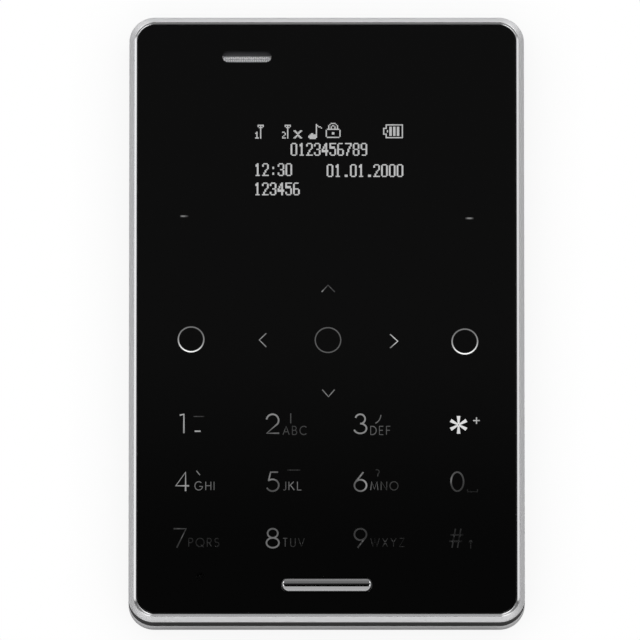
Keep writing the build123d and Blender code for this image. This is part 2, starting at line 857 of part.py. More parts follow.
baseband_sides = (usb_end + can_gap + usb_gap, base_left - cage_sheet - can_gap, connector_high + can_gap,
                  receiver_low - can_gap)
amplifier_sides = (max(receiver_right + can_gap, baseband_sides[1] + cans_apart),
                   bay_x - screw_inset - screw_head_radius - can_gap,
                   base_high + cage_sheet + can_gap, bay_y - can_gap)

pieces = {
    "frame": frame(),
    "side_band": side_band(),
    "rear_cover": rear_cover(),
    "chassis_plate": chassis_plate(),
    "front_glass": front_glass(),
    "glass_gasket": glass_gasket(),
    "touch_film": touch_film(),
    "earpiece_mesh": earpiece_mesh(),
    "earpiece_gasket": earpiece_gasket(),
    "earpiece_receiver": earpiece_receiver(),
    "wake_key": wake_key(),
    "wake_dome": wake_dome(),
    "keypad_board": keypad_board(),
    "key_leds": key_leds(),
    "light_guide": light_guide(),
    "microphone": microphone(),
    "microphone_boot": microphone_boot(),
    "display_bracket": display_bracket(),
    "display_tape": display_tape(),
    "display_panel": display_panel(),
    "display_driver": display_driver(),
    "display_flex": display_flex(),
    "display_connector": display_connector(),
    "main_board": main_board(),
    "board_screws": board_screws(),
    "baseband_shield": shield_can(*baseband_sides),
    "baseband_chip": chip(*baseband_sides),
    "amplifier_shield": shield_can(*amplifier_sides),
    "amplifier_chip": chip(*amplifier_sides),
    "sim_base": sim_base(),
    "sim_contacts": sim_contacts(),
    "sim_cage": sim_cage(),
    "sim_tray": sim_tray(),
    "tray_face": tray_face(),
    "eject_rod": eject_rod(),
    "eject_lever": eject_lever(),
    "eject_pivot": eject_pivot(),
    "usb_shell": usb_shell(),
    "usb_tongue": usb_tongue(),
    "battery_cell": battery_cell(),
    "battery_protection_board": battery_protection_board(),
    "battery_tail": battery_tail(),
    "battery_connector": battery_connector(),
    "loudspeaker": loudspeaker(),
    "speaker_gasket": speaker_gasket(),
    "antenna_carrier": antenna_carrier(),
    "antenna_film": antenna_film(),
    "lower_flex": lower_flex(),
    "motor_base": motor_base(),
    "motor_case": motor_case(),
    "motor_shaft": motor_shaft(),
    "rotor_hub": rotor_hub(),
    "rotor_weight": rotor_weight(),
}

os.makedirs("parts", exist_ok=True)
for name, piece in pieces.items():
    export_step(piece, f"parts/{name}.step")
    print(f"{name}: {piece.volume:.3f} mm3")
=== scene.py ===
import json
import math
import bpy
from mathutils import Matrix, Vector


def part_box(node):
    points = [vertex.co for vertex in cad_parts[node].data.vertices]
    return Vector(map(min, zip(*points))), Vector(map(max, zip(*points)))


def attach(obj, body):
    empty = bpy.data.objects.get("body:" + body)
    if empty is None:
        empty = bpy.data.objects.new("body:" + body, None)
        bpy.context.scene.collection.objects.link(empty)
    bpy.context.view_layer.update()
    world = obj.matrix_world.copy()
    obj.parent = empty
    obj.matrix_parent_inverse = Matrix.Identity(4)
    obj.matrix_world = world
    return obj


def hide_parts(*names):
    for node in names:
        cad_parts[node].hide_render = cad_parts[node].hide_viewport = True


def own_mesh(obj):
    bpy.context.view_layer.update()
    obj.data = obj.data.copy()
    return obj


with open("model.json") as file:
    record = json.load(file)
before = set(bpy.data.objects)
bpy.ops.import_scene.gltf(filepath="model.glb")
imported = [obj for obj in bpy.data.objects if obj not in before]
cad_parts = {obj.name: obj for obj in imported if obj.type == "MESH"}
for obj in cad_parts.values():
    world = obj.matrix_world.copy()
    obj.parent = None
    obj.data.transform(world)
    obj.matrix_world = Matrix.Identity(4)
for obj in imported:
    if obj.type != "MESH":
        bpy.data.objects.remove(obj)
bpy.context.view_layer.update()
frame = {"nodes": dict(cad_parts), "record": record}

# %% [markdown]
# A mobile phone the size of a bank card lies on its back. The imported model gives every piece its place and
# size. This script gives the pieces their finish, and models again, with finer curves, the pieces that the
# eye follows: frame, glass, bar key, card tray face and rear cover. Sizes are written in millimetres and
# turned into metres.

mm = 0.001
glass_low, glass_high = (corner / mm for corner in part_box("front_glass"))
frame_low, frame_high = (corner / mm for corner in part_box("frame"))
face_z = glass_high.z
body_width = frame_high.x - frame_low.x
body_length = frame_high.y - frame_low.y
print("body", round(body_width, 3), "x", round(body_length, 3), "glass face at", round(face_z, 3))

# %% [markdown]
# The photograph was taken from far away with a long lens, so parallel edges stay parallel. The printed rings
# look a little flat, which gives the tilt: the camera stands 76 degrees above the glass, over the lower end
# of the phone. A long lens on a far camera gives the same picture.

# %% Camera
elevation = math.radians(76.05)
lens = 1500.0
sensor = 36.0
picture_pixels = 640
pixels_per_mm = 7.328
picture_width = picture_pixels / pixels_per_mm
target = Vector((-0.91, -0.23, face_z)) * mm
distance = picture_width * lens / sensor * mm
towards_camera = Vector((0, -math.cos(elevation), math.sin(elevation)))
bpy.ops.object.camera_add(location=target + distance * towards_camera,
                          rotation=(math.pi / 2 - elevation, 0, 0))
camera = bpy.context.object
camera.data.lens = lens
camera.data.sensor_width = sensor
camera.data.clip_end = 100
bpy.context.scene.camera = camera
print("camera", round(distance, 2), "m away")

# %% [markdown]
# Shader maths reads better as Python than as a list of nodes. This class wraps one output socket. Adding,
# multiplying and so on makes the Math nodes, and one method adds any other node: first its settings, then
# its sockets.


# %% Shader maths
class Value:
    """One output socket of a shader node tree."""

    def __init__(self, tree, socket=None):
        self.tree = tree
        self.socket = socket

    def node(self, kind, settings=None, inputs=None, output=0):
        """Adds a node, sets it up, fills its sockets with numbers or links, and returns one output."""
        made = self.tree.nodes.new(kind)
        for name, setting in (settings or {}).items():
            setattr(made, name, setting)
        for name, given in (inputs or {}).items():
            if isinstance(given, Value):
                self.tree.links.new(given.socket, made.inputs[name])
            else:
                made.inputs[name].default_value = given
        return Value(self.tree, made.outputs[output])

    def out(self, name):
        """Another output of the same node."""
        return Value(self.tree, self.socket.node.outputs[name])

    def math(self, operation, first, second=0.0):
        """A Math node of two values or numbers."""
        return self.node("ShaderNodeMath", {"operation": operation}, {0: first, 1: second})

    def step(self, low, high):
        """0 below low, 1 above high, and a soft step between."""
        return self.node("ShaderNodeMapRange", {"interpolation_type": "SMOOTHSTEP"},
                         {"Value": self, "From Min": low, "From Max": high})

    def __add__(self, other):
        return self.math("ADD", self, other)

    def __sub__(self, other):
        return self.math("SUBTRACT", self, other)

    def __rsub__(self, other):
        return self.math("SUBTRACT", other, self)

    def __mul__(self, other):
        return self.math("MULTIPLY", self, other)

    def __truediv__(self, other):
        return self.math("DIVIDE", self, other)

    def __rtruediv__(self, other):
        return self.math("DIVIDE", other, self)

    def __pow__(self, other):
        return self.math("POWER", self, other)

    __radd__ = __add__
    __rmul__ = __mul__


def new_finish(name, colour, roughness, **constants):
    """A material with a Principled shader. Returns it, its shader node and a Value to start from."""
    material = bpy.data.materials.new(name)
    material.use_nodes = True
    shader = material.node_tree.nodes["Principled BSDF"]
    shader.inputs["Base Color"].default_value = (*colour, 1)
    shader.inputs["Roughness"].default_value = roughness
    for socket, given in constants.items():
        shader.inputs[socket.replace("_", " ")].default_value = given
    return material, shader, Value(material.node_tree)


def feed(shader, socket, value):
    """Links a value that changes over the surface to one socket of the shader."""
    value.tree.links.new(value.socket, shader.inputs[socket])


def noise(start, place, scale, detail=2.0):
    """Noise about 0, so that it can be added to a value without moving its mean."""
    return start.node("ShaderNodeTexNoise", inputs={"Vector": place, "Scale": scale, "Detail": detail}) - 0.5


def bump(start, height, strength, depth):
    """A bump of the given depth in metres."""
    return start.node("ShaderNodeBump", inputs={"Strength": strength, "Distance": depth, "Height": height},
                      output="Normal")


# %% [markdown]
# The metal frame is anodised aluminium. Its sides and the outer band of the rim are blasted to a satin
# sheen, and the inner band next to the glass is cut with a polished tool. Both are one metal, so one
# material does it: the height of a point tells satin from polished, and a fine grain breaks up the satin
# part only.


# %% Frame metal
def frame_metal():
    material, shader, start = new_finish("frame_metal", (0.80, 0.80, 0.81), 0.3, Metallic=1.0)
    place = start.node("ShaderNodeTexCoord", output="Object")
    height = start.node("ShaderNodeSeparateXYZ", inputs={0: place}, output="Z")
    polish_z = frame_high.z - 0.15
    polished = height.step((polish_z - 0.01) * mm, (polish_z + 0.01) * mm)
    grain = noise(start, place, 9000.0)
    cloud = noise(start, place, 120.0)
    satin = 1 - polished
    feed(shader, "Roughness", 0.10 + satin * (0.36 + 0.12 * grain + 0.05 * cloud))
    feed(shader, "Normal", bump(start, grain * satin, 0.15, 0.02 * mm))
    return material


# %% [markdown]
# The front glass is printed black from behind, so nothing shows through it but the lit legends. It needs a
# very dark base under a clean gloss, with a trace of handling in the roughness, as glass that has been wiped
# shows. Its base colour is painted a touch less black over the upper part than at the lower end: painted
# light, as if light leaked from the display.


# %% Black glass
def black_glass():
    material, shader, start = new_finish("black_glass", (0.001, 0.001, 0.001), 0.03, IOR=1.38)
    place = start.node("ShaderNodeTexCoord", output="Object")
    along = start.node("ShaderNodeSeparateXYZ", inputs={0: place}, output="Y")
    wipe = noise(start, place, 45.0, 4.0)
    # painted light: the base colour is lighter over the upper part and darker towards the lower end
    feed(shader, "Base Color", 0.0005 + 0.0023 * along.step(-36 * mm, 2 * mm))
    feed(shader, "Roughness", 0.035 + 0.03 * wipe)
    return material


# %% [markdown]
# The bar key is a polished metal bar, bright enough to mirror the studio. Very fine lines along the bar,
# left by the polishing belt, spread its highlights a little: noise stretched along the bar gives them.


# %% Key metal
def key_chrome():
    material, shader, start = new_finish("key_chrome", (0.86, 0.86, 0.87), 0.08, Metallic=1.0)
    place = start.node("ShaderNodeTexCoord", output="Object")
    along = start.node("ShaderNodeMapping", inputs={"Vector": place, "Scale": (0.06, 1.0, 1.0)})
    lines = noise(start, along, 16000.0)
    feed(shader, "Roughness", 0.06 + 0.04 * lines)
    return material


# %% [markdown]
# The other finishes are plain materials that the eye meets only in part: a woven steel mesh in the earpiece
# slot, a fine leathery grain on the rear cover, and boards, foils and moulded plastic inside. The mesh has
# its own pattern. One helper gives each of the others its colour, a slow change of tone and a grain.


# %% Plain finishes
def grained(name, colour, roughness, grain_size, depth, tone=0.12, **constants):
    """A finish with a slow change of tone and a grain of the given size, both in millimetres."""
    material, shader, start = new_finish(name, colour, roughness, **constants)
    place = start.node("ShaderNodeTexCoord", output="Object")
    cloud = noise(start, place, 150.0, 3.0)
    grain = noise(start, place, 1 / (grain_size * mm))
    dark = tuple(channel * (1 - tone) for channel in colour)
    light = tuple(min(1.0, channel * (1 + tone)) for channel in colour)
    shade = start.node("ShaderNodeMix", {"data_type": "RGBA"},
                       {0: (cloud + 0.5).step(0.3, 0.7), 6: (*dark, 1), 7: (*light, 1)}, output=2)
    feed(shader, "Base Color", shade)
    feed(shader, "Roughness", roughness + 0.12 * grain + 0.08 * cloud)
    feed(shader, "Normal", bump(start, grain, 0.4, depth * mm))
    return material


wire_pitch = 0.5
wire_colour = (0.80, 0.80, 0.81, 1)
# painted shade: the holes of the mesh get a dark colour for the shade seen through them
hole_shade_colour = (0.05, 0.05, 0.05, 1)


def woven_mesh():
    """Steel wires that cross at an angle, with painted shade in the holes between them."""
    material, shader, start = new_finish("mesh_steel", (0.6, 0.6, 0.61), 0.4, Metallic=0.35)
    place = start.node("ShaderNodeTexCoord", output="Object")
    split = start.node("ShaderNodeSeparateXYZ", inputs={0: place})
    turn = 2 * math.pi / (wire_pitch * mm)
    rise = start.math("SINE", (split.out("X") + split.out("Y")) * turn)
    fall = start.math("SINE", (split.out("X") - split.out("Y")) * turn)
    hole = (rise * fall).step(0.20, 0.55)
    # painted shade in the holes, pale steel on the wires
    shade = start.node("ShaderNodeMix", {"data_type": "RGBA"}, {0: hole, 6: wire_colour, 7: hole_shade_colour},
                       output=2)
    feed(shader, "Base Color", shade)
    feed(shader, "Roughness", 0.40 + 0.3 * hole)
    feed(shader, "Normal", bump(start, 1 - hole, 0.5, 0.03 * mm))
    return material


finishes = {
    "frame_metal": frame_metal(),
    "black_glass": black_glass(),
    "key_chrome": key_chrome(),
    "cover_plastic": grained("cover_plastic", (0.020, 0.020, 0.022), 0.5, 0.12, 0.02),
    "mesh_steel": woven_mesh(),
    "sheet_steel": grained("sheet_steel", (0.62, 0.62, 0.64), 0.32, 0.2, 0.004, Metallic=1.0),
    "black_rubber": grained("black_rubber", (0.004, 0.004, 0.004), 0.6, 0.1, 0.01, Specular_IOR_Level=0.2),
    "clear_plastic": grained("clear_plastic", (0.75, 0.77, 0.80), 0.15, 0.5, 0.002),
    "board_green": grained("board_green", (0.02, 0.12, 0.05), 0.38, 0.3, 0.01, tone=0.25),
    "moulded_plastic": grained("moulded_plastic", (0.045, 0.045, 0.05), 0.5, 0.15, 0.01),
    "chip_black": grained("chip_black", (0.02, 0.02, 0.022), 0.45, 0.08, 0.008),
    "contact_gold": grained("contact_gold", (0.83, 0.62, 0.25), 0.22, 0.2, 0.003, Metallic=1.0),
    "flex_amber": grained("flex_amber", (0.36, 0.15, 0.03), 0.35, 0.25, 0.004, tone=0.2),
    "display_glass": grained("display_glass", (0.012, 0.012, 0.016), 0.08, 0.5, 0.001),
    "battery_foil": grained("battery_foil", (0.70, 0.71, 0.73), 0.38, 0.35, 0.02, Metallic=1.0),
    "led_white": grained("led_white", (0.80, 0.78, 0.62), 0.3, 0.1, 0.005),
}
for subpart in frame["record"]["subparts"]:
    node = frame["nodes"][subpart["node"]]
    node.data.materials.clear()
    node.data.materials.append(finishes[subpart["material_slot"]])

# %% [markdown]
# The finer pieces all start as a flat plane with rounded corners. A vertex bevel rounds them in fine steps.
# From there, extrude and inset draw the section: an inset with a depth makes one sloping band all the way
# round.


# %% Modelling helpers
def select_only(piece):
    """Selects one object alone and makes it the active one."""
    bpy.ops.object.select_all(action="DESELECT")
    piece.select_set(True)
    bpy.context.view_layer.objects.active = piece


def rounded_plane(name, width, length, radius, middle, steps=24):
    """A plane of that size in millimetres with rounded corners, left in edit mode with its face selected."""
    if bpy.context.object and bpy.context.object.mode == "EDIT":
        bpy.ops.object.mode_set(mode="OBJECT")
    bpy.ops.mesh.primitive_plane_add(size=1, location=Vector(middle) * mm)
    piece = bpy.context.object
    piece.name = piece.data.name = name
    piece.scale = (width * mm, length * mm, 1)
    bpy.ops.object.transform_apply(location=True, rotation=True, scale=True)
    bpy.ops.object.mode_set(mode="EDIT")
    bpy.context.tool_settings.mesh_select_mode = (False, False, True)
    bpy.ops.mesh.select_all(action="SELECT")
    bpy.ops.mesh.bevel(offset=radius * mm, segments=steps, profile=0.5, affect="VERTICES")
    bpy.ops.mesh.select_all(action="SELECT")
    return piece


def round_end(width, steps=24):
    """The corner radius that makes a plane of that width a pill, with even edges round its ends."""
    return width / 2 / (1 + math.pi / 4 / steps)


def extrude(rise):
    """Draws the selected faces up by a height, or down by a negative one."""
    bpy.ops.mesh.extrude_region_move(TRANSFORM_OT_translate={"value": (0, 0, rise * mm)})


def inset(width, depth=0.0):
    """Insets the selected face, moving it outwards by the depth at the same time."""
    bpy.ops.mesh.inset(thickness=width * mm, depth=depth * mm, use_even_offset=True)


def face_outwards():
    """Selects the whole mesh and turns its faces outwards."""
    bpy.ops.mesh.select_all(action="SELECT")
    bpy.ops.mesh.normals_make_consistent(inside=False)


def pick(piece, wanted):
    """Selects the faces whose middle and normal pass a test."""
    bpy.ops.mesh.select_all(action="DESELECT")
    bpy.ops.object.mode_set(mode="OBJECT")
    for face in piece.data.polygons:
        face.select = wanted(face.center / mm, face.normal)
    bpy.ops.object.mode_set(mode="EDIT")


def round_edges(width, steps):
    """Rounds the selected edges."""
    bpy.ops.mesh.bevel(offset=width * mm, segments=steps, profile=0.5, affect="EDGES")


def soften(sharpness, width):
    """Rounds every edge that is sharper than an angle, so that it catches a fine line of light."""
    bpy.ops.mesh.select_all(action="DESELECT")
    bpy.ops.mesh.edges_select_sharp(sharpness=math.radians(sharpness))
    round_edges(width, 2)


def finish_piece(piece, body, slot, *replaced):
    """Leaves edit mode, smooths the shading, gives the finish and seats the piece on its body."""
    face_outwards()
    bpy.ops.object.mode_set(mode="OBJECT")
    bpy.ops.object.shade_smooth_by_angle(angle=math.radians(30))
    piece.data.materials.clear()
    piece.data.materials.append(finishes[slot])
    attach(piece, body)
    if replaced:
        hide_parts(*replaced)
    print(piece.name, len(piece.data.polygons), "faces")


def apply_modifier(piece, kind, **settings):
    """Adds a modifier to the active piece, sets it up and applies it."""
    bpy.ops.object.modifier_add(type=kind)
    modifier = piece.modifiers[-1]
    for name, setting in settings.items():
        setattr(modifier, name, setting)
    bpy.ops.object.modifier_apply(modifier=modifier.name)


def cut(piece, cutter):
    """Cuts one piece out of another, removes the cutter and merges points that the cut left double."""
    bpy.ops.object.mode_set(mode="OBJECT")
    select_only(piece)
    apply_modifier(piece, "BOOLEAN", operation="DIFFERENCE", object=cutter)
    bpy.data.objects.remove(cutter)
    bpy.ops.object.mode_set(mode="EDIT")
    bpy.ops.mesh.select_all(action="SELECT")
    bpy.ops.mesh.remove_doubles(threshold=0.001 * mm)


def block(name, width, length, radius, middle, height, steps=24):
    """A plate with rounded corners that stands on its middle point, for cutting or joining."""
    piece = rounded_plane(name, width, length, radius, middle, steps)
    extrude(height)
    face_outwards()
    bpy.ops.object.mode_set(mode="OBJECT")
    return piece


def pill(name, width, length, middle, height, steps=24):
    """A block whose short sides are half circles."""
    return block(name, width, length, round_end(min(width, length), steps), middle, height, steps)


def turn_to_side(piece):
    """Turns a plate that was made lying flat, so that its height runs along X and its width along -Z."""
    piece.rotation_euler = (0, math.pi / 2, 0)
    bpy.ops.object.transform_apply(location=False, rotation=True, scale=False)


# %% [markdown]
# The frame's section is drawn from both ends of one block. Going in from the top: the satin shoulder, the
# polished bevel, the lip beside the glass and the ledge that carries it. Going in from the rear: the
# chamfer, the rim round the rear cover and the side wall. Both paths end on the same ring, so a merge closes
# the frame.

# %% Metal frame
frame_corner = 3.5
shoulder_width, shoulder_rise = 0.72, 0.21
bevel_width, bevel_rise = 0.31, 0.15
lip_width, lip_depth = 0.05, 0.95
ledge_width, ledge_depth = 0.80, 1.10
chamfer = 0.35
rear_rim = 0.35
cover_depth, cover_ledge = 0.55, 0.50
wall_height, wall_ledge = 2.75, 0.68
shoulder_z = frame_high.z - shoulder_rise - bevel_rise
wall_z = frame_low.z + chamfer
metal_frame = rounded_plane("metal_frame", body_width, body_length, frame_corner, (0, 0, wall_z), 32)
extrude(shoulder_z - wall_z)
face_outwards()
pick(metal_frame, lambda middle, normal: normal.z > 0.9)
inset(shoulder_width, shoulder_rise)
inset(bevel_width, bevel_rise)
inset(lip_width)
extrude(-lip_depth)
inset(ledge_width)
extrude(-ledge_depth)
bpy.ops.mesh.delete(type="FACE")
pick(metal_frame, lambda middle, normal: normal.z < -0.9 and middle.z < 1)
inset(chamfer, chamfer)
inset(rear_rim)
extrude(cover_depth)
inset(cover_ledge)
extrude(wall_height)
inset(wall_ledge)
bpy.ops.mesh.delete(type="FACE")
bpy.ops.mesh.select_all(action="SELECT")
bpy.ops.mesh.remove_doubles(threshold=0.002 * mm)
print("frame section", round(body_width, 2), "x", round(body_length, 2), "mm")

# %% [markdown]
# Each edge is now rounded, those of the shoulder and the bevel more than the rest, as blasting and polishing
# do. Both bands are found by their slope, and region_to_loop turns their faces into the edges round them.

# %% Frame edges
shoulder_round, bevel_round, fine_round = 0.10, 0.03, 0.02
shoulder_up = shoulder_width / math.hypot(shoulder_width, shoulder_rise)
bevel_up = bevel_width / math.hypot(bevel_width, bevel_rise)
bevel_z = frame_high.z - bevel_rise
pick(metal_frame, lambda middle, normal: middle.z > shoulder_z and abs(normal.z - shoulder_up) < 0.01)
bpy.ops.mesh.region_to_loop()
round_edges(shoulder_round, 4)
pick(metal_frame, lambda middle, normal: middle.z > bevel_z and abs(normal.z - bevel_up) < 0.005)
bpy.ops.mesh.region_to_loop()
round_edges(bevel_round, 3)
soften(20, fine_round)
print("widest frame rounding", shoulder_round, "mm")

# %% [markdown]
# A shallow groove runs round the side under the rim and holds a dark band: painted shade, a dark part put
# where the shade under the rim falls. Its cutter is a ring: an inset parts a plane into a middle and a
# border, the middle is deleted, and the border is drawn up to the height of the band. Two openings go
# through the frame: a slot for the card tray on the right and the charging socket's mouth on the left.
# Each is cut with a plate turned on its side.

# %% Groove and openings in the frame
# painted shade: the dark band held in this groove stands in for the shade under the rim
shade_band_low, shade_band_high = (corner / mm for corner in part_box("side_band"))
shade_band_depth = 0.15
past = 0.5
ring = rounded_plane("band_ring", body_width + 2 * past, body_length + 2 * past, frame_corner + past,
                     (0, 0, shade_band_low.z), 32)
inset(past + shade_band_depth)
bpy.ops.mesh.delete(type="FACE")
bpy.ops.mesh.select_all(action="SELECT")
extrude(shade_band_high.z - shade_band_low.z)
face_outwards()
cut(metal_frame, ring)
tray_low, tray_high = (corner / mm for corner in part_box("tray_face"))
tray_middle = (tray_low + tray_high) / 2
slot_gap = 0.06
slot_height = tray_high.z - tray_low.z + 2 * slot_gap
slot = pill("tray_slot", slot_height, tray_high.y - tray_low.y + 2 * slot_gap, (0, 0, -1), 2)
turn_to_side(slot)
slot.location = Vector((tray_high.x - 0.2, tray_middle.y, tray_middle.z)) * mm
cut(metal_frame, slot)
usb_low, usb_high = (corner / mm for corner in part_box("usb_shell"))
usb_middle = (usb_low + usb_high) / 2
port_gap = 0.12
port = block("port", usb_high.z - usb_low.z + 2 * port_gap, usb_high.y - usb_low.y + 2 * port_gap, 0.05,
             (0, 0, -1), 2, 3)
turn_to_side(port)
port.location = Vector((-body_width / 2, usb_middle.y, usb_middle.z)) * mm
cut(metal_frame, port)
finish_piece(metal_frame, "phone", "frame_metal", "frame")

# %% [markdown]
# The front glass is a plate with a ground edge. The earpiece slot, the key slot and the microphone hole go
# right through it. Each cutter is a pill, a plate whose ends are half circles.

# %% Front glass
glass_corner = 2.34
ground_edge = 0.12
glass = rounded_plane("glass_front", glass_high.x - glass_low.x, glass_high.y - glass_low.y, glass_corner,
                      (0, 0, glass_low.z), 32)
extrude(glass_high.z - glass_low.z - ground_edge)
face_outwards()
pick(glass, lambda middle, normal: normal.z > 0.9)
inset(ground_edge, ground_edge)
key_low, key_high = (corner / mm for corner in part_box("wake_key"))
key_y = (key_low.y + key_high.y) / 2
key_length, key_width, key_gap = 12.2, 2.05, 0.08
slot_length, slot_width = key_length + 2 * key_gap, key_width + 2 * key_gap
earpiece_length, earpiece_width = 6.7, 1.6
microphone_width = 1.1
through_z, through = glass_low.z - 1, 3
earpiece = Vector((-10.9, 36.9, through_z))
microphone = Vector((-17.2, -36.2, through_z))
cut(glass, pill("earpiece_slot", earpiece_length, earpiece_width, earpiece, through))
cut(glass, pill("key_slot", slot_length, slot_width, (0, key_y, through_z), through))
cut(glass, pill("microphone_hole", microphone_width, microphone_width, microphone, through, 8))
finish_piece(glass, "phone", "black_glass", "front_glass")

# %% [markdown]
# In the earpiece slot a dark strip covers the upper part of the mesh: painted shadow, put where the upper
# edge of the slot shades the mesh. It is a thin strip with its edges rounded over.

# %% Earpiece shadow strip
mesh_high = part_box("earpiece_mesh")[1] / mm
strip_length, strip_width, strip_corner, strip_height = 6.6, 0.62, 0.12, 0.06
strip_y = earpiece.y + 0.53
# painted shadow: a dark strip laid on the mesh where the edge of the slot casts its shade
shadow_strip = block("earpiece_painted_shadow", strip_length, strip_width, strip_corner, (earpiece.x, strip_y, mesh_high.z),
            strip_height, 4)
bpy.ops.object.mode_set(mode="EDIT")
soften(40, 0.02)
finish_piece(shadow_strip, "phone", "moulded_plastic")

# %% [markdown]
# The bar key is a half-round bar whose ends are round when seen from above. Long strips mirror the studio in
# straighter bands than a bar trimmed with a boolean would. So the outline of a pill loses its face and its
# two long edges, a bridge between the two end arcs fills it with strips, and Shrinkwrap lays these on a
# round rod.

# %% Bar key crown
seat_z = glass_low.z - 0.27
crown_steps = 32
crown_radius = key_width / 2 + 0.01
key = rounded_plane("bar_key", key_length, key_width, round_end(key_width, crown_steps),
                    (0, key_y, key_high.z + past), crown_steps)
bpy.context.tool_settings.mesh_select_mode = (False, True, False)
bpy.ops.mesh.delete(type="ONLY_FACE")
bpy.ops.object.mode_set(mode="OBJECT")
for edge in key.data.edges:
    first, second = (key.data.vertices[number].co for number in edge.vertices)
    edge.select = (first - second).length > key_width * mm
bpy.ops.object.mode_set(mode="EDIT")
bpy.ops.mesh.delete(type="EDGE")
bpy.ops.mesh.select_all(action="SELECT")
bpy.ops.mesh.bridge_edge_loops(number_cuts=30, interpolation="LINEAR")
bpy.ops.object.mode_set(mode="OBJECT")
bpy.ops.mesh.primitive_cylinder_add(vertices=512, radius=crown_radius * mm, depth=2 * key_length * mm,
                                    location=(0, key_y * mm, (key_high.z - crown_radius) * mm),
                                    rotation=(0, math.pi / 2, 0))
rod = bpy.context.object
select_only(key)
apply_modifier(key, "SHRINKWRAP", target=rod, wrap_method="PROJECT", use_project_z=True,
               use_negative_direction=True, use_positive_direction=False)
bpy.data.objects.remove(rod)
print("crown of", len(key.data.polygons), "faces")

# %% [markdown]
# The curved sheet is drawn down, and scaling the copy to no height gives a flat underside. The sharp edges
# at the ends get a round that catches a thin bright line. Those of the hidden underside are left out by
# their height.

# %% Bar key ends
end_round = 0.22
bpy.ops.object.mode_set(mode="EDIT")
bpy.ops.mesh.select_all(action="SELECT")
extrude(-past)
bpy.ops.transform.resize(value=(1, 1, 0), center_override=(0, 0, seat_z * mm))
face_outwards()
bpy.ops.mesh.select_all(action="DESELECT")
bpy.ops.mesh.edges_select_sharp(sharpness=math.radians(30))
bpy.ops.object.mode_set(mode="OBJECT")
for edge in key.data.edges:
    lowest = min(key.data.vertices[number].co.z for number in edge.vertices)
    edge.select = edge.select and lowest > face_z * mm
bpy.ops.object.mode_set(mode="EDIT")
round_edges(end_round, 6)
bpy.ops.object.mode_set(mode="OBJECT")
print("key stands", round(key_high.z - face_z, 2), "mm above the glass")

# %% [markdown]
# A flange holds the key under the glass, and a stem below it presses on the dome. Both are plain pills,
# because nothing shows of them.

# %% Key flange and stem
flange_width = key_high.y - key_low.y
flange_height = 0.25
stem_width = 2.0
flange = pill("key_flange", key_high.x - key_low.x, flange_width, (0, key_y, seat_z), flange_height)
stem = pill("key_stem", stem_width, stem_width, (0, key_y, key_low.z), seat_z - key_low.z, 12)
for part in (flange, stem, key):
    part.select_set(True)
bpy.context.view_layer.objects.active = key
bpy.ops.object.join()
bpy.ops.object.mode_set(mode="EDIT")
finish_piece(key, "bar_key", "key_chrome", "wake_key")

# %% [markdown]
# Under the bar key lies a snap dome, a shallow cap of thin steel that gives way with a click. A round plane
# is drawn up ring by ring with insets along a shallow arc, and Solidify gives the sheet its thickness.

# %% Snap dome
dome_low, dome_high = (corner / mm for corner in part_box("wake_dome"))
dome_sheet = 0.08
dome_rings = 5
dome_radius = (dome_high.x - dome_low.x) / 2 - dome_sheet
dome_rise = dome_high.z - dome_low.z - dome_sheet
ball = (dome_radius ** 2 + dome_rise ** 2) / (2 * dome_rise)
dome = rounded_plane("snap_dome", 2 * dome_radius, 2 * dome_radius, round_end(2 * dome_radius, 10),
                     (0, key_y, dome_low.z), 10)
ring_width = dome_radius / (dome_rings + 1)
for number in range(dome_rings):
    before = dome_radius - number * ring_width
    after = before - ring_width
    inset(ring_width, math.sqrt(ball ** 2 - after ** 2) - math.sqrt(ball ** 2 - before ** 2))
bpy.ops.object.mode_set(mode="OBJECT")
apply_modifier(dome, "SOLIDIFY", thickness=dome_sheet * mm, offset=1)
bpy.ops.object.mode_set(mode="EDIT")
finish_piece(dome, "phone", "sheet_steel", "wake_dome")
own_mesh(dome)

# %% [markdown]
# The tray's outer face is a pill of the frame's metal, set flush in the right side, with a hole for the
# eject pin. Its edge is rounded a little, because a dead sharp edge never catches the light.

# %% Tray face
face_height = tray_high.z - tray_low.z
face_thickness = tray_high.x - tray_low.x
tray_face = pill("card_tray_face", face_height, tray_high.y - tray_low.y, (0, 0, -face_thickness / 2),
                 face_thickness)
bpy.ops.object.mode_set(mode="EDIT")
soften(40, 0.05)
bpy.ops.object.mode_set(mode="OBJECT")
turn_to_side(tray_face)
tray_face.location = tray_middle * mm
bpy.ops.object.transform_apply(location=True, rotation=False, scale=False)
pin_width, pin_y = 0.9, 30.78
pin_hole = pill("pin_hole", pin_width, pin_width, (0, 0, -1), 2, 8)
turn_to_side(pin_hole)
pin_hole.location = Vector((tray_middle.x, pin_y, tray_middle.z)) * mm
cut(tray_face, pin_hole)
finish_piece(tray_face, "card_tray", "frame_metal", "tray_face")

# %% [markdown]
# The rear cover is a flat panel with a softly rounded edge and two rows of sound holes over the loudspeaker.
# A last flat inset keeps the shading of the round edge out of the large face. The holes are one cutter: a
# short round plate that is copied along the rows in edit mode.

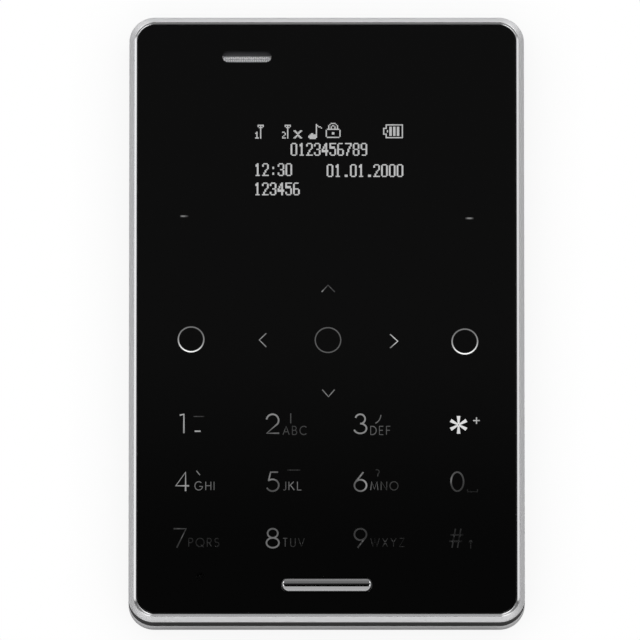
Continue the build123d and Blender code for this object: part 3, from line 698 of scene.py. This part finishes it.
# %% Rear cover
cover_low, cover_high = (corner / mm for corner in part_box("rear_cover"))
cover_corner = 2.75
cover_thickness = 0.7
cover_round, round_steps = 0.3, 6
flat_border = 0.3
cover = rounded_plane("rear_panel", cover_high.x - cover_low.x, cover_high.y - cover_low.y, cover_corner,
                      (0, 0, cover_thickness), 32)
extrude(cover_round - cover_thickness)
face_outwards()
pick(cover, lambda middle, normal: normal.z < -0.9)
for number in range(round_steps):
    before = math.pi / 2 / round_steps * number
    after = math.pi / 2 / round_steps * (number + 1)
    inset(cover_round * (math.cos(before) - math.cos(after)),
          cover_round * (math.sin(after) - math.sin(before)))
inset(flat_border)
bpy.ops.object.mode_set(mode="OBJECT")
hole_width, hole_pitch, hole_count = 0.8, 1.5, 7
grille_x, grille_y = -22.0, -34.1
grille = pill("grille", hole_width, hole_width, (grille_x, grille_y, -1), 3, 6)
bpy.ops.object.mode_set(mode="EDIT")
bpy.ops.mesh.select_all(action="SELECT")
for number in range(hole_count - 1):
    bpy.ops.mesh.duplicate_move(TRANSFORM_OT_translate={"value": (hole_pitch * mm, 0, 0)})
bpy.ops.mesh.select_all(action="SELECT")
bpy.ops.mesh.duplicate_move(TRANSFORM_OT_translate={"value": (0, hole_pitch * mm, 0)})
cut(cover, grille)
finish_piece(cover, "phone", "cover_plastic", "rear_cover")

# %% [markdown]
# The legends are windows in the black print, lit from behind. Each sign is drawn as a few pen strokes, lines
# and arcs, on a height of 1. A curve object with a round section turns the strokes into a line of even
# width, and squashing the mesh leaves a flat film on the glass. The digits and the letters beside them are
# the usual ones of a telephone keypad.


# %% Pen strokes
def arc(x, y, wide, high, start, end):
    """Points along an ellipse, from one angle to another in degrees."""
    count = max(4, round(abs(end - start) / 12))
    angles = [math.radians(start + (end - start) * number / count) for number in range(count + 1)]
    return [(x + wide * math.cos(angle), y + high * math.sin(angle)) for angle in angles]


signs = {
    "0": [arc(0.32, 0.5, 0.32, 0.5, 0, 360)],
    "1": [[(0.04, 0.95), (0.25, 1), (0.25, 0)]],
    "2": [arc(0.32, 0.68, 0.31, 0.32, 172, -38) + [(0.02, 0), (0.66, 0)]],
    "3": [arc(0.30, 0.75, 0.25, 0.25, 165, -90), arc(0.30, 0.25, 0.32, 0.26, 90, -165)],
    "4": [[(0.5, 0), (0.5, 1), (0, 0.28), (0.68, 0.28)]],
    "5": [[(0.58, 1), (0.2, 1), (0.1, 0.56)] + arc(0.30, 0.31, 0.32, 0.31, 128, -155)],
    "6": [[(0.46, 1), (0.05, 0.47)], arc(0.31, 0.30, 0.31, 0.30, 0, 360)],
    "7": [[(0, 1), (0.64, 1), (0.16, 0)]],
    "8": [arc(0.32, 0.76, 0.26, 0.24, 0, 360), arc(0.32, 0.26, 0.32, 0.26, 0, 360)],
    "9": [[(0.16, 0), (0.57, 0.53)], arc(0.31, 0.70, 0.31, 0.30, 0, 360)],
    "#": [[(0.14, 0), (0.32, 1)], [(0.42, 0), (0.60, 1)], [(0, 0.34), (0.66, 0.34)],
          [(0.06, 0.67), (0.72, 0.67)]],
    "A": [[(0, 0), (0.36, 1), (0.72, 0)], [(0.13, 0.34), (0.59, 0.34)]],
    "B": [[(0, 0), (0, 1), (0.22, 1)] + arc(0.22, 0.76, 0.22, 0.24, 90, -90) + [(0, 0.52)],
          [(0.22, 0.52)] + arc(0.24, 0.26, 0.27, 0.26, 90, -90) + [(0, 0)]],
    "C": [arc(0.45, 0.5, 0.45, 0.5, 48, 312)],
    "D": [[(0, 0), (0, 1), (0.18, 1)] + arc(0.18, 0.5, 0.47, 0.5, 90, -90) + [(0, 0)]],
    "E": [[(0.45, 1), (0, 1), (0, 0), (0.45, 0)], [(0, 0.52), (0.40, 0.52)]],
    "F": [[(0.45, 1), (0, 1), (0, 0)], [(0, 0.52), (0.40, 0.52)]],
    "G": [arc(0.45, 0.5, 0.45, 0.5, 48, 352) + [(0.52, 0.44)]],
    "H": [[(0, 0), (0, 1)], [(0.6, 0), (0.6, 1)], [(0, 0.52), (0.6, 0.52)]],
    "I": [[(0, 0), (0, 1)]],
    "J": [[(0.32, 1)] + arc(0.15, 0.18, 0.17, 0.18, 0, -130)],
    "K": [[(0, 0), (0, 1)], [(0.55, 1), (0.02, 0.45)], [(0.16, 0.6), (0.62, 0)]],
    "L": [[(0, 1), (0, 0), (0.46, 0)]],
    "M": [[(0, 0), (0.1, 1), (0.42, 0.1), (0.74, 1), (0.84, 0)]],
    "N": [[(0, 0), (0, 1), (0.66, 0), (0.66, 1)]],
    "O": [arc(0.47, 0.5, 0.47, 0.5, 0, 360)],
    "P": [[(0, 0), (0, 1), (0.22, 1)] + arc(0.22, 0.74, 0.25, 0.26, 90, -90) + [(0, 0.48)]],
    "Q": [arc(0.47, 0.5, 0.47, 0.5, 0, 360), [(0.55, 0.25), (0.9, -0.05)]],
    "R": [[(0, 0), (0, 1), (0.22, 1)] + arc(0.22, 0.74, 0.25, 0.26, 90, -90) + [(0, 0.48)],
          [(0.2, 0.48), (0.5, 0)]],
    "S": [arc(0.24, 0.76, 0.22, 0.24, 40, 270) + arc(0.24, 0.26, 0.25, 0.26, 90, -140)],
    "T": [[(0, 1), (0.52, 1)], [(0.26, 1), (0.26, 0)]],
    "U": [[(0, 1)] + arc(0.27, 0.28, 0.27, 0.28, 180, 360) + [(0.54, 1)]],
    "V": [[(0, 1), (0.34, 0), (0.68, 1)]],
    "W": [[(0, 1), (0.26, 0), (0.5, 0.95), (0.74, 0), (1, 1)]],
    "X": [[(0, 0), (0.6, 1)], [(0, 1), (0.6, 0)]],
    "Y": [[(0, 1), (0.31, 0.5), (0.62, 1)], [(0.31, 0.5), (0.31, 0)]],
    "Z": [[(0.02, 1), (0.58, 1), (0, 0), (0.6, 0)]],
}


def sign_width(sign):
    """How far a sign reaches to the right, on a height of 1."""
    return max(x for stroke in signs[sign] for x, y in stroke)


def write(text, left, foot, height, gap=0.37):
    """The strokes of a row of signs, from its left end, with its feet on a line."""
    strokes = []
    for sign in text:
        strokes += [[(left + x * height, foot + y * height) for x, y in stroke] for stroke in signs[sign]]
        left += (sign_width(sign) + gap) * height
    return strokes


film_height = 0.012


def film(name, strokes, width, finish, flare=1.0):
    """Draws strokes as a flat film on the glass. A flare below 1 makes each stroke start that much narrower."""
    curve = bpy.data.curves.new(name, "CURVE")
    curve.dimensions = "3D"
    curve.bevel_depth = width / 2 * mm
    curve.bevel_resolution = 1
    curve.use_fill_caps = True
    for stroke in strokes:
        closed = math.dist(stroke[0], stroke[-1]) < 1e-6
        points = stroke[:-1] if closed else stroke
        spline = curve.splines.new("POLY")
        spline.points.add(len(points) - 1)
        for point, (x, y) in zip(spline.points, points):
            point.co = (x * mm, y * mm, 0, 1)
        spline.points[0].radius = flare
        spline.use_cyclic_u = closed
    piece = bpy.data.objects.new(name, curve)
    bpy.context.scene.collection.objects.link(piece)
    select_only(piece)
    bpy.ops.object.convert(target="MESH")
    piece = bpy.context.object
    piece.scale = (1, 1, film_height / width)
    piece.location = (0, 0, face_z * mm)
    bpy.ops.object.transform_apply(location=True, rotation=True, scale=True)
    bpy.ops.object.mode_set(mode="EDIT")
    bpy.ops.mesh.select_all(action="SELECT")
    bpy.ops.mesh.remove_doubles(threshold=0.0005 * mm)
    face_outwards()
    bpy.ops.object.mode_set(mode="OBJECT")
    piece.data.materials.append(finish)
    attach(piece, "phone")
    print(piece.name, len(piece.data.polygons), "faces")


# %% [markdown]
# A few small lights behind the glass feed all legends, so a sign near a light is bright and one far away is
# dim. The finish works that out from the place of a point: a low level that falls towards the lower end,
# plus a round falloff for each light, given by its place, reach and strength. A strength below 0 makes a
# dimmer spot. Letters get the same pattern at a lower level.


# %% Legend light
lights = [(-19.9, -13.6, 2.2, 0.28), (-17.6, -15.85, 0.6, 0.20), (18.0, -14.7, 2.4, 0.66),
          (-18.9, -5.4, 2.1, 0.90), (18.9, -5.7, 2.2, 1.00), (-7.5, -13.3, 1.8, 0.13),
          (5.0, -13.9, 3.0, 0.15), (9.5, -3.0, 1.0, 0.46), (-8.9, -3.0, 1.2, 0.12),
          (-0.7, 3.7, 0.4, 0.16), (0.2, -10.6, 1.2, 0.05), (-18.4, -23.2, 3.0, 0.22),
          (-4.2, -23.6, 1.1, 0.24), (-7.5, -22.3, 0.6, 0.10), (5.9, -23.1, 1.4, 0.20),
          (16.8, -22.6, 0.5, 0.10), (18.0, -23.0, 2.2, -0.035), (-7.4, -31.3, 1.8, 0.14),
          (4.2, -30.9, 1.5, 0.018), (18.3, -30.3, 1.6, -0.015), (-4.8, -15.5, 1.3, -0.030),
          (-19.6, 14.4, 0.3, 0.30), (19.5, 14.1, 0.3, 0.30)]


def legend_light(name, share):
    """A lit finish that shows the pattern of the lights at a share of its level."""
    material, shader, start = new_finish(name, (0.004, 0.004, 0.004), 0.06, Emission_Strength=1.0)
    place = start.node("ShaderNodeTexCoord", output="Object")
    split = start.node("ShaderNodeSeparateXYZ", inputs={0: place})
    across, along = split.out("X") / mm, split.out("Y") / mm
    level = 0.010 + 0.080 * along.step(-32.5, -18.0) - 0.05 * along.step(-1.0, 3.5)
    for x, y, reach, strength in lights:
        away = ((across - x) ** 2 + (along - y) ** 2) / (reach * reach)
        level = level + strength / (1 + away * away)
    uneven = 1 + 0.5 * noise(start, place, 500.0)
    feed(shader, "Emission Color", level * uneven * share)
    return material


digit_light = legend_light("digit_light", 1.0)
letter_light = legend_light("letter_light", 0.50)
faint_light = legend_light("faint_light", 0.14)

# %% [markdown]
# The keypad is a grid of four columns and three rows. A digit stands on each crossing with its letters to
# the right. The middle of each sign is on the column, so the start is half a width to the left.

# %% Keypad legends
columns = [-19.8, -7.35, 4.6, 17.80]
rows = [-14.80, -22.92, -30.85]
letter_drop = [-0.20, 0.15, 0.15]
nudge = {"4": 0.15, "7": -0.20, "#": -0.15}
digit_height, digit_pen = 2.66, 0.22
letter_height, letter_pen = 1.17, 0.12
letter_start = 1.4
digits = []
letters = []
groups = [["", "ABC", "DEF", ""], ["GHI", "JKL", "MNO", ""], ["PQRS", "TUV", "WXYZ", ""]]
starts = {"GHI": 1.84, "PQRS": 1.02}
for row, text in enumerate(["123", "4560", "789#"]):
    for column, sign in enumerate(text):
        left = columns[column] + nudge.get(sign, 0) - sign_width(sign) * digit_height / 2
        foot = rows[row] - digit_height / 2
        digits += write(sign, left, foot, digit_height)
        start = columns[column] + starts.get(groups[row][column], letter_start)
        letters += write(groups[row][column], start, foot + letter_drop[row], letter_height)
film("digit_legends", digits, digit_pen, digit_light)
film("letter_legends", letters, letter_pen, letter_light)

# %% [markdown]
# The star key's sign has six strokes that grow wider outwards, so each starts at its narrow end, a little
# off the middle: strokes that shared one point would make a mesh that isn't clean.

# %% Star and plus
star_x, star_y = 17.98, -14.96
star_reach = (0.07, 1.24)
star = []
for number in range(6):
    angle = math.radians(90 + 60 * number)
    star.append([(star_x + reach * math.cos(angle), star_y + reach * math.sin(angle)) for reach in star_reach])
film("star_legend", star, 0.50, digit_light, flare=0.4)
plus = [[(19.97, -14.36), (20.89, -14.36)], [(20.43, -13.90), (20.43, -14.82)]]
film("plus_legend", plus, 0.17, digit_light)

# %% [markdown]
# Small marks above the letters help with entering characters by strokes: a line, a hook or a dot. Below the
# display come the two soft keys, the ring-shaped call keys and the four arrows, all in thinner lines.

# %% Marks, rings and arrows
marks = [[(-4.90, -13.35), (-4.90, -14.75)], arc(6.30, -13.45, 1.10, 1.35, -5, -72),
         [(-17.75, -21.40), (-17.27, -22.00)]]
film("stroke_marks", marks, 0.14, letter_light)
faint_marks = [[(-18.15, -13.78), (-16.7, -13.78)], [(-5.37, -21.30), (-3.6, -21.30)],
               arc(6.85, -21.55, 0.32, 0.30, 120, -60) + [(6.95, -22.20)],
               [(19.2, -24.00), (19.2, -24.35), (20.55, -24.35), (20.55, -24.00)],
               [(19.62, -31.10), (19.62, -32.30)], [(19.36, -31.45), (19.62, -31.10), (19.88, -31.45)]]
film("faint_marks", faint_marks, 0.13, faint_light)
film("message_mark", [[(-18.00, -15.85), (-17.18, -15.85)]], 0.20, digit_light)
ring_radius = 1.745
call_rings = [arc(x, y, ring_radius, ring_radius, 0, 360) for x, y in ((-18.5, -2.95), (18.85, -3.25))]
film("call_rings", call_rings, 0.18, digit_light)
film("menu_ring", [arc(0.18, -3.05, ring_radius, ring_radius, 0, 360)], 0.16, digit_light)
arrows = [[(-0.68, 3.72), (0.18, 4.68), (1.11, 3.72)], [(-0.60, -10.02), (0.24, -11.01), (1.08, -10.02)],
          [(-8.24, -2.10), (-9.19, -3.03), (-8.24, -4.02)], [(8.65, -2.23), (9.71, -3.21), (8.65, -4.17)]]
film("arrow_legends", arrows, 0.16, digit_light)
film("soft_keys", [[(-20.0, 14.38), (-18.9, 14.38)], [(18.95, 14.08), (20.05, 14.08)]], 0.24, letter_light)

# %% [markdown]
# The display is made of dots, so its picture is a set of small flat squares on the grid of the panel. Plain
# digits and common symbols are drawn row by row, a # for each lit dot.

# %% Dot drawings
tall = (0, 1, 1, 2, 2, 3, 4, 4, 5, 5, 6)
dot_digits = {
    "0": ".###./#...#/#...#/#...#/#...#/#...#/.###.",
    "1": "..#../.##../..#../..#../..#../..#../.###.",
    "2": ".###./#...#/....#/...#./..#../.#.../#####",
    "3": ".###./#...#/....#/..##./....#/#...#/.###.",
    "4": "...#./..##./.#.#./#..#./#####/...#./...#.",
    "5": "#####/#..../####./....#/....#/#...#/.###.",
    "6": ".###./#..../#..../####./#...#/#...#/.###.",
    "7": "#####/....#/...#./..#../..#../.#.../.#...",
    "8": ".###./#...#/#...#/.###./#...#/#...#/.###.",
    "9": ".###./#...#/#...#/.####/....#/....#/.###.",
    ":": "///..#/..#////..#/..#/",
    ".": "/////////..##/..##",
}
mast = "..#####/..#.#.#/...###./....#../....#../....#../"
symbols = {
    (-9.70, 27.20): mast + ".#..#../##..#../.#..#../.#..#../.#..#../###.#..",
    (-6.00, 27.20): mast + "##..#../..#.#../..#.#../.#..#../#...#../###.#..",
    (-4.45, 26.40): "##...##/.##.##./..###../...#.../..###../.##.##./##...##",
    (-2.42, 27.30): "......#..../......##.../......#.##./......#...#/" + "......#..../" * 4
                    + "..##..#..../.######..../#######..../#######..../.#####.....",
    (-0.05, 27.45): "....####..../...#....#.../..#..##..#../..#.#..#.#../..#.#..#.#../.##########./"
                    "#..........#/#..........#/#....##....#/#....##....#/#..........#/#..........#/"
                    ".##########.",
    (7.80, 27.25): "..##############/..#............#/..#..##.##.##..#/###..##.##.##..#/"
                   "#....##.##.##..#/#..#.##.##.##..#/#..#.##.##.##..#/#....##.##.##..#/"
                   "###..##.##.##..#/..#..##.##.##..#/..#............#/..##############",
}
print(len(dot_digits), "signs and", len(symbols), "symbols")

# %% [markdown]
# Each lit dot is noted by its four corners, a little apart from its neighbours. The type is bolder than the
# symbols, and a digit of 7 rows is drawn out to the 11 rows of the display's tall type by lighting some rows
# twice.

# %% Lit dots
pitch = 0.17
half = 0.08
bolder = 0.07
row_squeeze = 0.96
sign_pitch = 6.25
dots = []


def light_rows(rows_of_dots, left, top, bold):
    """Notes the corners of each lit dot, from the top left of a drawing. Bold dots are wider."""
    for down, line in enumerate(rows_of_dots):
        for over, lit in enumerate(line):
            if lit == "#":
                x, y = left + over * pitch, top - down * pitch * row_squeeze
                dots.append([(x - half, y - half), (x + half + bold, y - half), (x + half + bold, y + half),
                             (x - half, y + half)])


def light_text(text, left, top):
    """Writes a row of signs in the tall type."""
    for number, sign in enumerate(text):
        drawn = dot_digits[sign].split("/")
        if len(drawn) < len(tall):
            drawn = [drawn[line] for line in tall]
        light_rows(drawn, left + number * sign_pitch * pitch, top, bolder)


for (left, top), drawn in symbols.items():
    light_rows(drawn.split("/"), left, top, 0.0)
light_text("0123456789", -4.85, 24.62)
light_text("12:30", -9.80, 21.76)
light_text("01.01.2000", 0.08, 21.62)
light_text("123456", -9.82, 19.04)
print("lit dots", len(dots))

# %% [markdown]
# All squares become one mesh in code: adding hundreds one by one would take far too long. Drawing them up a
# few thousandths of a millimetre makes each a closed box. The lit finish is a little uneven from dot to dot.

# %% Display dots
dot_z = face_z + 0.005
dot_height = 0.004
dot_mesh = bpy.data.meshes.new("display_dots")
dot_mesh.from_pydata([(x * mm, y * mm, dot_z * mm) for corners in dots for x, y in corners], [],
                     [tuple(range(4 * number, 4 * number + 4)) for number in range(len(dots))])
display_dots = bpy.data.objects.new("display_dots", dot_mesh)
bpy.context.scene.collection.objects.link(display_dots)
select_only(display_dots)
bpy.ops.object.mode_set(mode="EDIT")
bpy.ops.mesh.select_all(action="SELECT")
extrude(dot_height)
face_outwards()
bpy.ops.object.mode_set(mode="OBJECT")
dot_light, dot_shader, dot_start = new_finish("dot_light", (0.004, 0.004, 0.004), 0.06, Emission_Strength=1.0)
dot_place = dot_start.node("ShaderNodeTexCoord", output="Object")
dot_level = 0.50 + 0.30 * noise(dot_start, dot_place, 900.0)
feed(dot_shader, "Emission Color", dot_level)
dot_mesh.materials.append(dot_light)
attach(display_dots, "phone")
print("display dots", len(dot_mesh.polygons), "faces")

# %% [markdown]
# The phone lies on a plain white table. To the camera and in reflections the table is white paper, darker
# only where the phone keeps light away. The Ambient Occlusion node gives that contact shadow: turned towards
# the lamp, it is dark only on the side of the phone that faces away from it. To all other rays the table is
# an even pale grey that lights the phone a little from below. From below it is clear, so that a view from
# there shows the rear cover.

# %% Floor
floor_z = -0.1
bpy.ops.mesh.primitive_plane_add(size=6, location=(0, 0, floor_z * mm))
floor = bpy.context.object
floor.name = "floor"
paper_grey = 0.6
paper, _, paper_start = new_finish("paper", (paper_grey, paper_grey, paper_grey), 0.8)
ray = paper_start.node("ShaderNodeLightPath")
to_lamp = paper_start.node("ShaderNodeCombineXYZ", inputs={"Y": 0.94, "Z": 0.34})


def open_sky(reach, **inputs):
    """How much of the sky a point of the table sees past what stands within a reach in millimetres."""
    return paper_start.node("ShaderNodeAmbientOcclusion", {"samples": 8},
                            {"Distance": reach * mm, **inputs}, "AO")


contact = open_sky(0.8, Normal=to_lamp).step(0.0, 0.45)
around = open_sky(5.0)
wide = open_sky(9.0)
looked = ray.math("MAXIMUM", ray.out("Is Camera Ray"), ray.out("Is Transmission Ray"))
mirrored = ray.out("Is Glossy Ray") * (1 - looked)
shade = looked * (0.72 + 0.28 * contact) * (0.86 + 0.14 * wide)
shade = shade + mirrored * (around * around * around) + (1 - looked - mirrored) * paper_grey
mixed = paper_start.node("ShaderNodeEmission", inputs={"Color": shade, "Strength": 1.0})
from_below = paper_start.node("ShaderNodeNewGeometry", output="Backfacing")
clear = paper_start.node("ShaderNodeBsdfTransparent")
mixed = paper_start.node("ShaderNodeMixShader", inputs={0: from_below, 1: mixed, 2: clear})
paper.node_tree.links.new(mixed.socket, paper.node_tree.nodes["Material Output"].inputs["Surface"])
floor.data.materials.append(paper)
print("floor at", floor_z, "mm")

# %% [markdown]
# Metal shows the room it stands in, so the room matters more than the lamps. The world is a studio of two
# large soft panels, left and right, that leave a narrow gap in the middle. The camera looks in through the
# gap, which is darkest where it stands. A polished face mirrors the gap and a satin one the panels, and that
# sets the two apart. A small bright card on each side gives the polished bevel its line: a round patch about
# a direction, found with a dot product. To the camera, and below the horizon, the world is white.

# %% Studio
world = bpy.data.worlds.new("studio")
bpy.context.scene.world = world
world.use_nodes = True
studio = Value(world.node_tree)
direction = studio.node("ShaderNodeTexCoord", output="Generated")


def patch(centre, inner, outer):
    """1 within an angle of a direction, and 0 beyond a wider one."""
    facing = studio.node("ShaderNodeVectorMath", {"operation": "DOT_PRODUCT"},
                         {0: direction, 1: Vector(centre).normalized()}, output="Value")
    return facing.step(math.cos(math.radians(outer)), math.cos(math.radians(inner)))


split = studio.node("ShaderNodeSeparateXYZ", inputs={0: direction})
across, along, up = split.out("X"), split.out("Y"), split.out("Z")
beside = across * across
gap = 0.44 * (1 - along.step(-0.54, -0.46)) + 0.16 * along.step(0.09, 0.17) + 0.10 * along.step(0.80, 1.0)
front = (1 - along.step(-0.26, 0.12)) * (0.25 + 1.75 * up.step(0.78, 0.90))
panels = 0.25 + front + 2.30 * along.step(0.36, 0.64) * up.step(0.50, 0.62)
panels = panels * (1 - 0.55 * beside.step(0.16, 0.30))
panels = panels + 0.95 * patch((-0.77, 0.24, 0.58), 6, 15) + 0.76 * patch((0.77, 0.24, 0.58), 6, 15)
camera_side = patch((0, 0.24, 0.97), 6, 13)
room = gap + (panels - gap) * beside.step(0.004, 0.03)
room = room * (1 - 0.6 * camera_side)
looked_at = studio.node("ShaderNodeLightPath", output="Is Camera Ray")
white = looked_at.math("MAXIMUM", looked_at, 1 - up.step(-0.02, 0.0))
room = room + (1 - room) * white
world.node_tree.links.new(room.socket, world.node_tree.nodes["Background"].inputs["Color"])
bpy.ops.object.light_add(type="AREA", location=(0, 0.45, 0.5), rotation=(math.radians(-42), 0, 0))
top_light = bpy.context.object
top_light.name = "top_light"
top_light.data.size = 0.15
top_light.data.energy = 2.6
top_light.visible_glossy = False
print("studio with", len(world.node_tree.nodes), "nodes")

# %% Finish
bpy.context.scene.view_settings.view_transform = "Standard"
